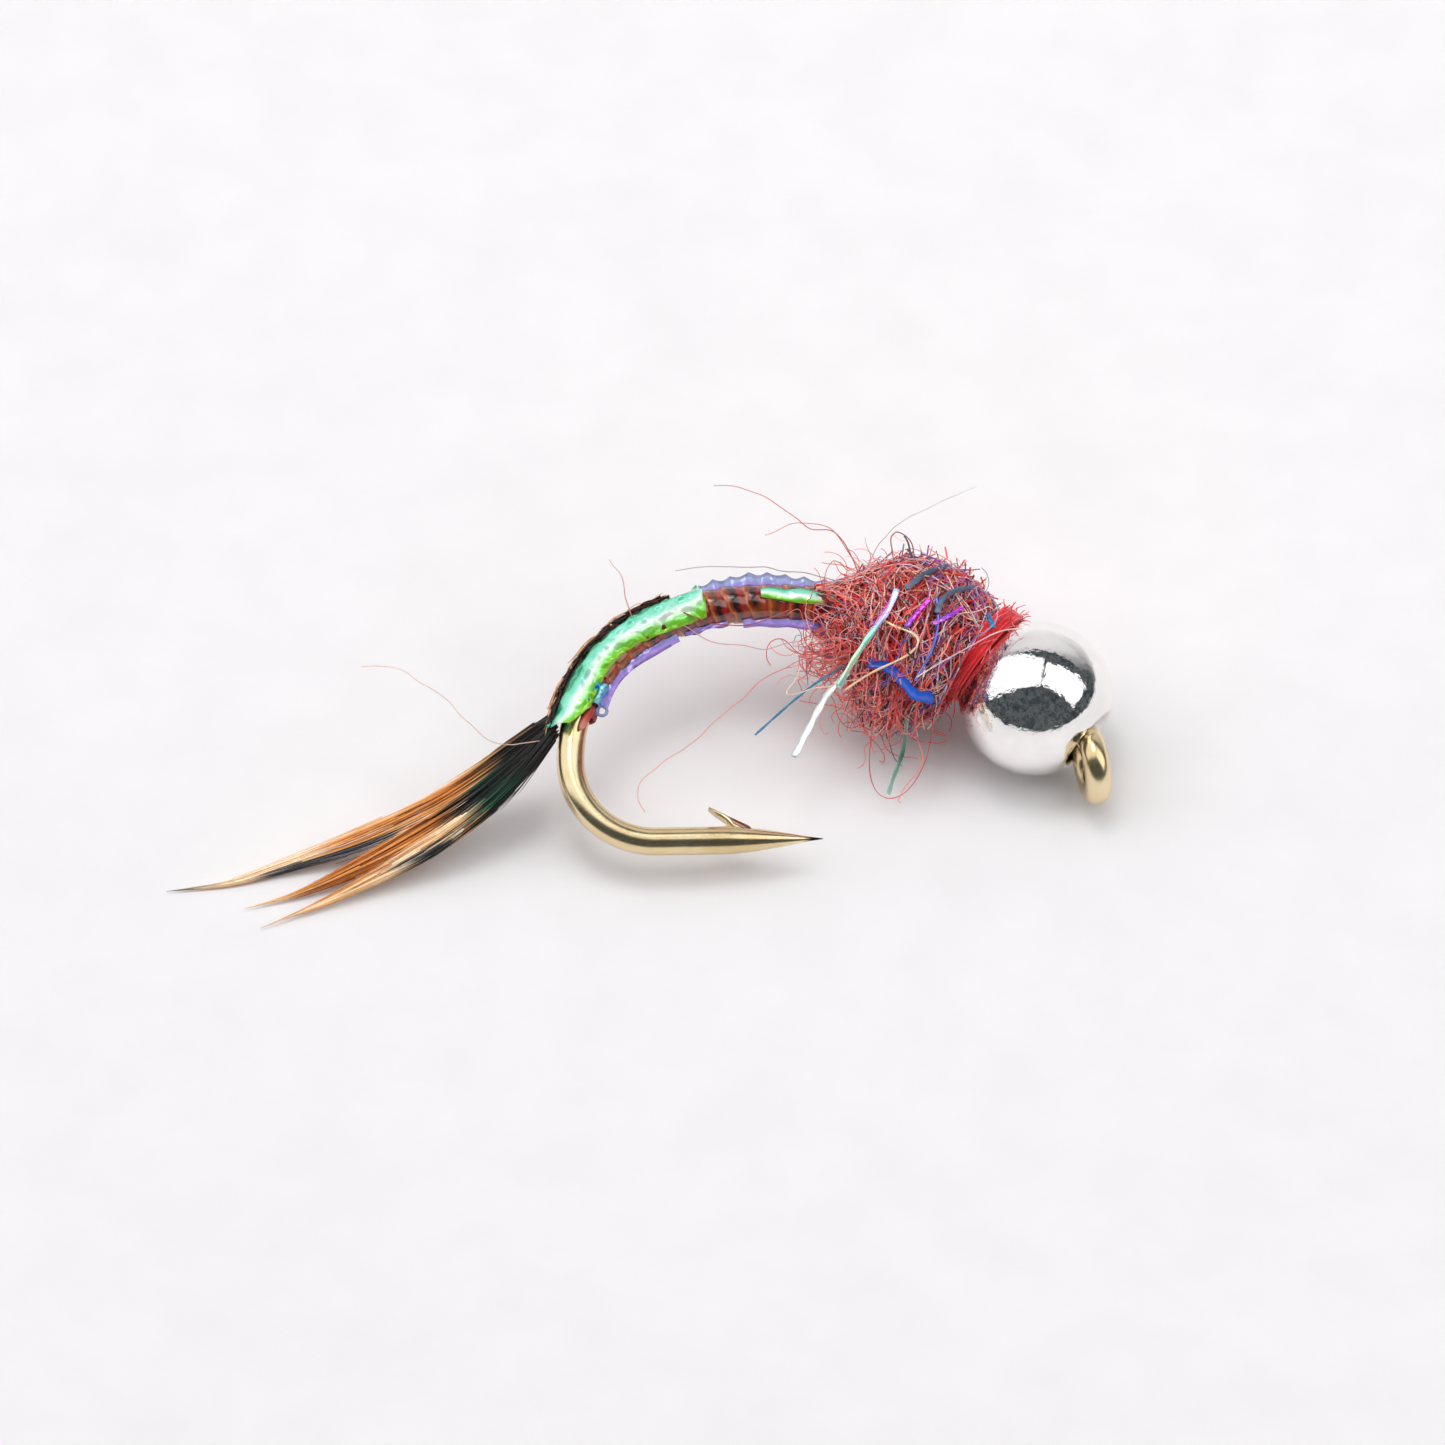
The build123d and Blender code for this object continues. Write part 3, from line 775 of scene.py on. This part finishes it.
STRAYS = (
    (("#d8706c", "#e8a8a0"), 0.013,
     ((-3.6, 0.75, 0.7), (-4.28, 0.62, 0.5), (-4.93, 0.29, 0.5), (-5.48, -0.18, 0.4), (-6.32, -0.9, 0.3),
      (-6.97, -1.29, 0.2), (-7.39, -1.67, 0.1), (-7.17, -2.06, 0.0))),
    (("#c85858", "#d88880"), 0.012,
     ((-3.07, 2.1, 0.4), (-3.28, 2.75, 0.5), (-3.53, 3.1, 0.5), (-3.98, 3.1, 0.5), (-4.51, 3.52, 0.6),
      (-5.13, 3.91, 0.6), (-5.68, 3.98, 0.6))),
    (("#d07870", "#e0a098"), 0.011,
     ((-3.0, 2.2, 0.4), (-3.48, 3.0, 0.5), (-3.88, 3.29, 0.5), (-4.34, 3.21, 0.5), (-4.8, 3.02, 0.5))),
    (("#b8b4bc", "#dcd8dc"), 0.009,
     ((-3.02, 2.28, 0.6), (-2.59, 2.9, 1.0), (-1.87, 3.22, 1.3), (-1.06, 3.5, 1.5))),
    (("#c07070", "#dca8a4"), 0.011,
     ((-7.18, 1.51, 0.2), (-7.28, 1.8, 0.3), (-7.4, 2.28, 0.3), (-7.6, 2.7, 0.3))),
    (("#8c8894", "#a8a0ac"), 0.012,
     ((-3.1, 1.94, 0.5), (-3.84, 2.24, 0.5), (-4.92, 2.45, 0.5), (-6.0, 2.43, 0.5), (-6.46, 2.34, 0.5))),
    (("#d8b098", "#e4c4b4"), 0.011,
     ((-9.01, -0.69, 0.1), (-9.73, -0.79, 0.0), (-10.25, -0.34, 0.0), (-10.86, 0.3, 0.1),
      (-11.48, 0.7, 0.2), (-12.18, 0.69, 0.3))),
    (("#b4645c", "#8a4a48"), 0.013,
     ((-2.56, 2.22, 1.0), (-2.64, 2.71, 1.1), (-2.45, 2.86, 1.1), (-2.21, 2.57, 1.1), (-2.13, 2.22, 1.0))),
    (("#3c3a3e", "#5a5a60"), 0.021,
     ((-2.22, 2.3, 1.1), (-2.3, 2.55, 1.1), (-2.37, 2.73, 1.1))),
    (("#8a3c2c", "#a85a48"), 0.015,
     ((-6.34, 1.61, 0.42), (-6.05, 1.4, 0.46), (-5.33, 1.25, 0.5), (-4.41, 1.58, 0.5))),
    (("#c88c88", "#d8a8a4"), 0.011,
     ((-6.4, 1.4, 0.3), (-5.87, 1.1, 0.3), (-4.96, 0.93, 0.2), (-4.23, 1.11, 0.2), (-3.35, 1.02, 0.4))),
    (("#b06a64", "#c8827c"), 0.03,
     ((-3.39, 0.63, 0.7), (-3.75, 0.58, 0.6), (-4.28, 0.68, 0.5))),
    (("#e8c8b0", "#f0dcc8"), 0.013,
     ((-3.3, 0.1, 0.8), (-4.0, 0.0, 0.7), (-4.6, -0.1, 0.6), (-4.3, 0.45, 0.6))),
)
hair = fibre_finish("single fine hair", 0.35)
routes = []
for dyes, radius, points in STRAYS:
    route = even_route(points, 26, 3)
    for i, p in enumerate(route):
        p += Vector((noise.noise(p * 2.3), noise.noise(p * 2.3 + Vector((9, 0, 0))), 0)) * 0.07
    routes.append((route, taper_radii(26, radius, radius * 0.7), dyes))
lay_fibres("stray_hairs", routes, hair, slot="dubbing", resolution=3)


# --- flash strands --------------------------------------------------------------
# Narrow cut film and metallic thread mixed into the dubbing for glitter. Each lies over the tuft or stands
# out of its belly side: flat, shiny and unevenly twisted.
flash_film = fibre_finish("metallised flash film", 0.22, metallic=0.55, coat=0.8, speckle=5000.0)
soft_flash = fibre_finish("dyed flat fibre", 0.38, metallic=0.1, coat=0.3, speckle=6000.0)
FLASH = (
    ("blue_flash_ribbon", "blue_flash_strand", "blue_flash", soft_flash, 0.105, 0.022,
     ("#0a3c98", "#0a56c8", "#0848b0"),
     ((-3.12, 0.36, 1.02), (-2.75, 0.26, 1.1), (-2.49, -0.03, 1.06), (-2.28, -0.32, 0.98),
      (-1.96, -0.25, 0.86))),
    ("mint_flash_ribbon", "mint_flash_strand", "mint_flash", flash_film, 0.048, 0.014,
     ("#c8d8f0", "#b8a8e8", "#a0f0d8", "#d8f8d0", "#b8e8dc"),
     ((-2.57, 1.61, 1.42), (-2.7, 1.23, 1.44), (-3.04, 0.83, 1.38), (-3.29, 0.5, 1.22), (-3.51, 0.2, 1.02),
      (-3.66, -0.05, 0.85))),
    ("violet_flash_thread", "violet_flash_strand", "violet_flash", flash_film, 0.0, 0.03,
     ("#5a6ae0", "#4a58c8", "#8a90f0"),
     ((-1.86, 1.45, 1.4), (-1.84, 0.95, 1.42), (-1.98, 0.45, 1.36), (-2.3, -0.05, 1.16))),
    ("gold_flash_fibre", "gold_flash_strand", "gold_flash", soft_flash, 0.0, 0.024,
     ("#e8c0a0", "#f0d0a0", "#f4e0b8", "#f0c8a0"),
     ((-3.56, -0.13, 0.9), (-3.08, 0.15, 1.12), (-2.54, 0.3, 1.3), (-2.14, 0.52, 1.42),
      (-2.17, 0.76, 1.46), (-2.62, 0.84, 1.42), (-2.87, 1.07, 1.34))),
    ("teal_flash_fibre", "teal_flash_strand", "teal_flash", flash_film, 0.0, 0.026,
     ("#3a6a8c", "#3a94b0", "#2a7a98", "#5a8ab0"),
     ((-3.48, 0.47, 0.62), (-4.07, 0.17, 0.42), (-4.57, -0.22, 0.32), (-5.13, -0.69, 0.2))),
    ("white_flash_ribbon", "white_flash_strand", "white_flash", flash_film, 0.065, 0.012,
     ("#d8f4e8", "#f4fffa", "#e0f4f8"),
     ((-3.4, 0.4, 0.5), (-3.79, 0.05, 0.38), (-3.95, -0.22, 0.3), (-4.09, -0.46, 0.22),
      (-4.28, -0.8, 0.15), (-4.45, -1.09, 0.1))),
    ("magenta_flash_front", None, "violet_flash", flash_film, 0.042, 0.012,
     ("#d838d8", "#a03ae0", "#e070e8"),
     ((-1.39, 1.28, 1.32), (-1.65, 1.09, 1.4), (-1.95, 0.93, 1.44))),
    ("magenta_flash_middle", None, "violet_flash", flash_film, 0.042, 0.012,
     ("#e040e0", "#c030d0", "#8a48e0"),
     ((-2.0, 1.4, 1.44), (-2.25, 1.12, 1.45), (-2.44, 0.89, 1.4))),
    ("magenta_flash_rear", None, "violet_flash", flash_film, 0.042, 0.012,
     ("#b050e8", "#e040d8", "#7a50e0"),
     ((-2.62, 1.5, 1.3), (-2.8, 1.2, 1.34), (-3.0, 0.95, 1.3))),
    ("slate_ribbon_top", None, "dubbing", soft_flash, 0.05, 0.02, ("#4a4a62", "#3a4456", "#5c6a84"),
     ((-1.64, 2.14, 1.1), (-1.92, 2.03, 1.22), (-2.21, 1.79, 1.34), (-2.4, 1.62, 1.4))),
    ("slate_ribbon_front", None, "dubbing", soft_flash, 0.045, 0.02, ("#4c5870", "#3c4c5c", "#56647c"),
     ((-1.12, 1.75, 1.1), (-1.5, 1.62, 1.3), (-1.78, 1.42, 1.42), (-1.87, 1.12, 1.45))),
    ("pale_loop", None, "dubbing", soft_flash, 0.0, 0.014, ("#e8c8c0", "#c8b0b8", "#f0e0d8"),
     ((-0.33, 0.91, 1.15), (-0.7, 0.88, 1.25), (-1.17, 0.6, 1.3), (-1.64, 0.34, 1.33), (-2.1, 0.1, 1.24),
      (-2.29, -0.01, 1.2))),
    ("blue_loop", None, "blue_flash", soft_flash, 0.0, 0.014, ("#7a8ab8", "#9aa8c8", "#6a7ab0"),
     ((-1.02, 1.69, 1.12), (-0.72, 1.43, 1.08), (-0.77, 1.01, 1.2), (-1.17, 0.7, 1.28))),
    ("teal_glint", None, "teal_flash", flash_film, 0.045, 0.014, ("#0a5a98", "#1a80b0"),
     ((-0.92, 1.2, 1.16), (-0.88, 1.05, 1.18), (-0.84, 0.92, 1.2))),
    ("mint_tip_low", None, "mint_flash", flash_film, 0.03, 0.014, ("#b8f0d0", "#5a8a78", "#c8f4e0"),
     ((-2.35, -0.3, 0.1), (-2.43, -0.92, -0.2), (-2.52, -1.14, -0.3), (-2.61, -1.32, -0.42),
      (-2.7, -1.59, -0.6))),
    ("red_loop_low", None, "dubbing", soft_flash, 0.0, 0.011, ("#c83c40", "#d86a68", "#c04448"),
     ((-3.0, -0.5, 0.3), (-3.1, -1.13, 0.0), (-3.08, -1.5, -0.3), (-2.85, -1.78, -0.6),
      (-2.39, -1.66, -0.7), (-2.17, -1.35, -0.5), (-1.95, -1.0, -0.2), (-1.9, -0.4, 0.2))),
)
for name, node_name, slot_name, finish, flat, radius, dyes, points in FLASH:
    route = even_route(points, 16, 3)
    nodes = (node_name,) if node_name else ()
    shares = [0.88 + 0.20 * math.sin(i * 1.9) for i in range(16)]
    if flat:
        lay_fibres(name, [(route, shares, dyes)], finish, *nodes, slot=slot_name, ribbon=(flat, radius),
                   resolution=4)
    else:
        lay_fibres(name, [(route, [radius * share for share in shares], dyes)], finish, *nodes,
                   slot=slot_name, resolution=4, sides=1)

# the cut end of the body's film turns back on itself beside the tail
loop = bmesh.new()
loop_at = on_wire(9.46, 0.40, 0.18)
ring_start = bmesh.ops.create_circle(loop, segments=12, radius=0.030,
                                     matrix=Matrix.Translation(loop_at + heading(0) * 0.09)
                                     @ Matrix.Rotation(math.radians(90), 4, "X"))["verts"]
ring_edges = list({e for v in ring_start for e in v.link_edges})
bmesh.ops.spin(loop, geom=ring_start + ring_edges, cent=loop_at, axis=OUT_OF_PLANE, angle=math.tau,
               steps=28, use_merge=True)
bmesh.ops.recalc_face_normals(loop, faces=loop.faces)
place("film_tag_loop", loop, pearl_violet, "pearl_tag_loop", slot="pearl_film")


# --- tail -----------------------------------------------------------------------
# Eight feather fibres tied in together. Each has a quill and a vane of fine barbs that lie close to it, black
# with a green sheen by the tie, then orange-brown edged with cream, drawn out to hair-fine tips.
tail_at = 9.93
TAIL_ROOT = on_wire(tail_at, -0.34, 0.10)
TO_HOOK = LIE.inverted()


def over_table(x, y, height):
    """A place in millimetres: across and along the table from under the bead's centre, and up from it."""
    return TO_HOOK @ Vector((BEAD_AT.x + x * 0.001, BEAD_AT.y + y * 0.001, TABLE + height * 0.001))


up = -down
GROUPS = (
    # fullest half width, and the middle line from near the tie to the tip
    (0.24, ((-9.40, -1.34, 1.50), (-10.20, -1.75, 1.08), (-11.00, -2.10, 0.74), (-12.25, -2.52, 0.36),
            (-13.60, -2.92, 0.15), (-14.50, -3.26, 0.08), (-15.60, -3.40, 0.06))),
    (0.26, ((-9.40, -1.64, 1.44), (-10.20, -2.10, 1.00), (-11.00, -2.48, 0.67), (-11.80, -2.88, 0.42),
            (-12.70, -3.28, 0.22), (-13.40, -3.57, 0.10), (-14.20, -3.80, 0.06))),
    (0.22, ((-9.40, -1.89, 1.38), (-9.85, -2.25, 1.12), (-10.40, -2.57, 0.84), (-11.00, -2.87, 0.60),
            (-11.90, -3.30, 0.32), (-12.90, -3.79, 0.12), (-13.90, -4.25, 0.06))),
)
BLACKS = ("#0c0a0a", "#14110e", "#1e1812", "#12100f")
GREENS = ("#12382a", "#1f5a40", "#0e2a24")
CREAMS = ("#fbe6c4", "#f4cc98", "#fff0d8", "#e8b47c")
ORANGES = ("#d07c30", "#dc9044", "#b46424", "#e8a860", "#985020")
GREYS = ("#2c2a2e", "#4a484e", "#6a686e", "#38363a")


def barb_shade(group, lane, t, rng):
    """The feather's pattern at a share of the way to its tip: lane runs from the near edge to the far one."""
    dark_until = (0.26, 0.42, 0.36)[group] - 0.10 * max(lane, 0) * (group == 0) + rng.gauss(0, 0.035)
    if group == 0 and t > 0.95:
        return rng.choice(BLACKS)
    if t < dark_until:
        if group == 2 and lane > 0.80 and t > 0.16:
            return rng.choice(CREAMS)
        if group == 0 and lane > 0.55 and t > 0.06:
            return rng.choice(("#6a4a30", "#8a6240", "#3a281c"))
        return rng.choice(GREENS) if 0.18 < t < 0.30 and rng.random() < 0.3 else rng.choice(BLACKS)
    if group == 0:
        if lane < -0.35 and 0.45 < t < 0.78:
            return rng.choice(GREYS)
        return rng.choice(CREAMS) if abs(lane) > 0.5 or t > 0.62 else rng.choice(ORANGES)
    if group == 1:
        return rng.choice(ORANGES) if t < 0.86 else rng.choice(CREAMS + ("#c4803c",))
    if lane > 0.35 and t < 0.62:
        return rng.choice(CREAMS)
    if lane < -0.2 and 0.40 < t < 0.58:
        return rng.choice(BLACKS + GREYS)
    return rng.choice(CREAMS + ("#c87c3c", "#d89858"))


rng = random.Random(21)
feather = fibre_finish("pheasant feather barb", 0.42, speckle=7000.0)
barbs_in_group, root_barbs = 360, 70
quills, barbs = [], []
for g, (half_width, middle) in enumerate(GROUPS):
    root = TAIL_ROOT + station(tail_at)[2] * (g - 1) * 0.10
    line = even_route([root] + [over_table(*p) for p in middle], 41, 8)
    side = (line[30] - root).cross(up).normalized()

    def on_group(t, lane, layer, line=line, side=side, half_width=half_width):
        k = min(int(t * 40), 39)
        full = half_width * min(0.75 + 1.6 * t, 1.0) * min((1 - t) * 2.1, 1.0) ** 1.3
        rise = layer * min((1 - t) * 3, 1) + 0.25 * full * (1 - lane * lane)
        return line[k].lerp(line[k + 1], t * 40 - k) + side * full * lane + up * rise

    for k in range(3 if g < 2 else 2):
        lane = (k - 1) * 0.5
        points = [on_group(t, lane, 0.02) for t in (i / 15 for i in range(16))]
        dyes = [barb_shade(g, lane, i / 7, rng) for i in range(8)]
        quills.append((points, taper_radii(16, 0.034, 0.005), dyes))
    for n in range(barbs_in_group):
        if n < root_barbs:
            begin, end = rng.uniform(0.0, 0.06), rng.uniform(0.12, 0.30)
        else:
            begin = rng.uniform(0.0, 0.80) ** 1.15
            end = min(begin + rng.uniform(0.16, 0.42), rng.uniform(0.86, 1.0))
        lane, layer = rng.uniform(-1, 1), rng.gauss(0, 0.03) - 0.04 * begin
        spread = rng.gauss(0.10, 0.10) * (1 if lane > 0 else -1)
        points = [on_group(begin + (end - begin) * i / 11, lane + spread * i / 11, layer) for i in range(12)]
        dyes = [barb_shade(g, lane, begin + (end - begin) * i / 4, random.Random(int(lane * 997) + g))
                for i in range(5)]
        barbs.append((points, taper_radii(12, rng.uniform(0.011, 0.018), 0.003), dyes))
names = [f"tail_fibre_{i}" for i in range(1, 9)]
lay_fibres("tail_quills", quills, feather, *names, slot="tail_feather", resolution=3)
lay_fibres("tail_barbs", barbs, feather, slot="tail_feather", resolution=2)

# the butts of the feather fibres run on up the outside of the body, under the film, and fray past its edge
frays = []
for _ in range(330):
    along, tan = rng.uniform(6.9, 9.9), rng.random() < 0.2
    lift = rng.uniform(0.45, 0.53) if tan else rng.uniform(0.32, 0.47)
    points = [on_wire(along + 0.10 * i, -lift - 0.010 * i * rng.uniform(-0.2, 1.0),
                      rng.uniform(-0.05, 0.16)) for i in range(5)]
    browns = ("#c8905c", "#e0b48c", "#d8a070") if tan else ("#140c0a", "#2a1610", "#3c1812", "#1a100e")
    shade = rng.choice(browns)
    frays.append((points, taper_radii(5, 0.012 if tan else 0.030, 0.008), (shade, shade)))
lay_fibres("feather_butts", frays, feather, slot="tail_feather")


# --- table, backdrop and light --------------------------------------------------
# A sheet of matt white paper on a table, and a large soft light at each side. The room past the paper is dim.
# The fill stands for light that the room sends back from all round, so it shows in no mirror.
paper, tree, shader = new_finish("matt white paper", Roughness=0.9)
tone = add(tree, "ShaderNodeValToRGB", {"Fac": mottling(tree, 700.0, 5.0)},
           stops=((0.3, "#f6f3f4"), (0.7, "#faf7f8")))
tree.links.new(tone.outputs["Color"], shader.inputs["Base Color"])
sweep_shape = bmesh.new()
paper_half_width, paper_front, paper_back, sweep_r = 0.6, -0.35, 0.15, 0.12
front_edge_row = [sweep_shape.verts.new((x, paper_front, TABLE))
                  for x in (-paper_half_width, paper_half_width)]
rows = [sweep_shape.edges.new(front_edge_row)]
back_row = bmesh.ops.extrude_edge_only(sweep_shape, edges=rows)["geom"]
bmesh.ops.translate(sweep_shape, verts=loose(back_row, bmesh.types.BMVert),
                    vec=(0, paper_back - paper_front, 0))
upright = bmesh.ops.spin(sweep_shape, geom=back_row[:], cent=(0, paper_back, TABLE + sweep_r), axis=(1, 0, 0),
                         angle=math.radians(90), steps=16)["geom_last"]
wall = bmesh.ops.extrude_edge_only(sweep_shape, edges=loose(upright, bmesh.types.BMEdge))["geom"]
bmesh.ops.translate(sweep_shape, verts=loose(wall, bmesh.types.BMVert), vec=(0, 0, 0.26))
sweep_mesh = bpy.data.meshes.new("paper_sweep")
bmesh.ops.remove_doubles(sweep_shape, verts=sweep_shape.verts, dist=1e-6)
sweep_shape.to_mesh(sweep_mesh)
sweep_piece = smooth_object("paper_sweep", sweep_mesh, paper)

for name, direction, distance, width, height, power, mirrored in (
    ("left_softbox", Vector((-0.568, 0.078, 0.819)), 0.40, 0.40, 0.74, 1.02, True),
    ("right_softbox", Vector((0.656, -0.145, 0.740)), 0.40, 0.28, 0.48, 0.60, True),
    ("key_lamp", Vector((-0.12, 0.14, 0.98)), 0.36, 0.12, 0.12, 0.19, True),
    ("room_fill", Vector((0, 0, 1)), 0.60, 1.40, 1.40, 2.75, False),
):
    light = bpy.data.objects.new(name, bpy.data.lights.new(name, "AREA"))
    light.data.shape = "RECTANGLE"
    light.data.size = width
    light.data.size_y = height
    light.data.energy = power
    light.visible_glossy = mirrored
    light.location = direction.normalized() * distance
    light.rotation_mode = "QUATERNION"
    light.rotation_quaternion = (-direction).to_track_quat("-Z", "Y")
    bpy.context.collection.objects.link(light)

# The room past the paper: dark, with dim shapes in it that only show as specks in the bead's mirror.
room = bpy.data.worlds.new("dim_room")
room.use_nodes = True
clutter = add(room.node_tree, "ShaderNodeTexNoise", {"Scale": 9.0, "Detail": 8.0, "Roughness": 0.75})
shapes = add(room.node_tree, "ShaderNodeValToRGB", {"Fac": clutter.outputs["Fac"]}, stops=(
    (0.30, "#0c1318"), (0.85, "#dfe6e8"), (0.50, "#27343d"), (0.60, "#4c5a62"), (0.68, "#98a4a8")))
backdrop = room.node_tree.nodes["Background"]
room.node_tree.links.new(shapes.outputs["Color"], backdrop.inputs["Color"])
backdrop.inputs["Strength"].default_value = 0.6
bpy.context.scene.world = room
bpy.context.scene.view_settings.view_transform = "Standard"
